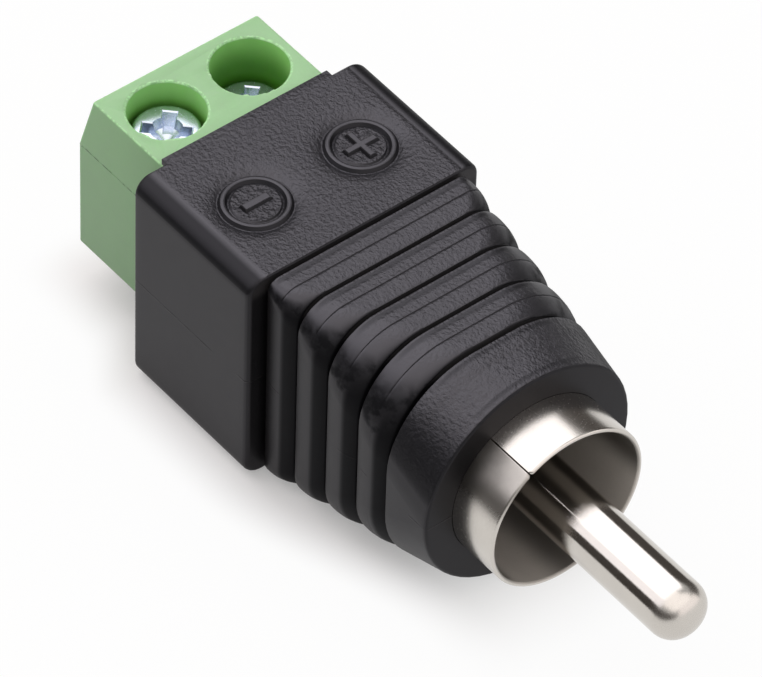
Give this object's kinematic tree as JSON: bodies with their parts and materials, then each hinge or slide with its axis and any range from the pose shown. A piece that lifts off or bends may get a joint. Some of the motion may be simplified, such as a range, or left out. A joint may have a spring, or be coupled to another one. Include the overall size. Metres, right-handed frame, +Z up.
{
  "type": "rca plug",
  "caption": "Male RCA plug with a ribbed black housing and a green screw terminal block at its rear for bare wires.",
  "frame": {"origin": "middle of the part's footprint, on the surface that the housing lies on", "axes": "+X along the plug axis towards the tip of the pin, +Z up, the negative terminal on the -Y side"},
  "size_m": [0.0406, 0.0142, 0.0132],
  "materials": {
    "black_plastic": "grained, satin",
    "green_plastic": "satin",
    "tinned_steel": "tinned",
    "zinc_steel": "bright zinc",
    "nickel": "polished nickel",
    "insulator_plastic": "matte"
  },
  "bodies": {
    "plug": {"housing": "black_plastic", "terminal_housing": "green_plastic", "clamp_body_negative": "tinned_steel", "clamp_body_positive": "tinned_steel", "center_pin": "nickel", "insulator": "insulator_plastic", "ground_shell": "nickel"},
    "guard_negative": {"wire_guard_negative": "tinned_steel"},
    "screw_negative": {"screw_negative": "zinc_steel"},
    "guard_positive": {"wire_guard_positive": "tinned_steel"},
    "screw_positive": {"screw_positive": "zinc_steel"}
  },
  "joints": [
    {"name": "guard_negative_travel", "type": "slide", "parent": "plug", "child": "guard_negative", "axis": [0, 0, 1], "range_m": [-0.00142, 0.00085]},
    {"name": "screw_negative_turn", "type": "hinge", "parent": "guard_negative", "child": "screw_negative", "pos_m": [-0.01658, -0.00254, 0.01077], "axis": [0, 0, 1], "range_deg": [-1140, 684]},
    {"name": "guard_positive_travel", "type": "slide", "parent": "plug", "child": "guard_positive", "axis": [0, 0, 1], "range_m": [-0.00008, 0.00219]},
    {"name": "screw_positive_turn", "type": "hinge", "parent": "guard_positive", "child": "screw_positive", "pos_m": [-0.01658, 0.00254, 0.01077], "axis": [0, 0, 1], "range_deg": [-68, 1756]}
  ],
  "couplings": [
    {"joint": "screw_negative_turn", "follows": "guard_negative_travel", "rad_per_m": 13963},
    {"joint": "screw_positive_turn", "follows": "guard_positive_travel", "rad_per_m": 13963}
  ]
}
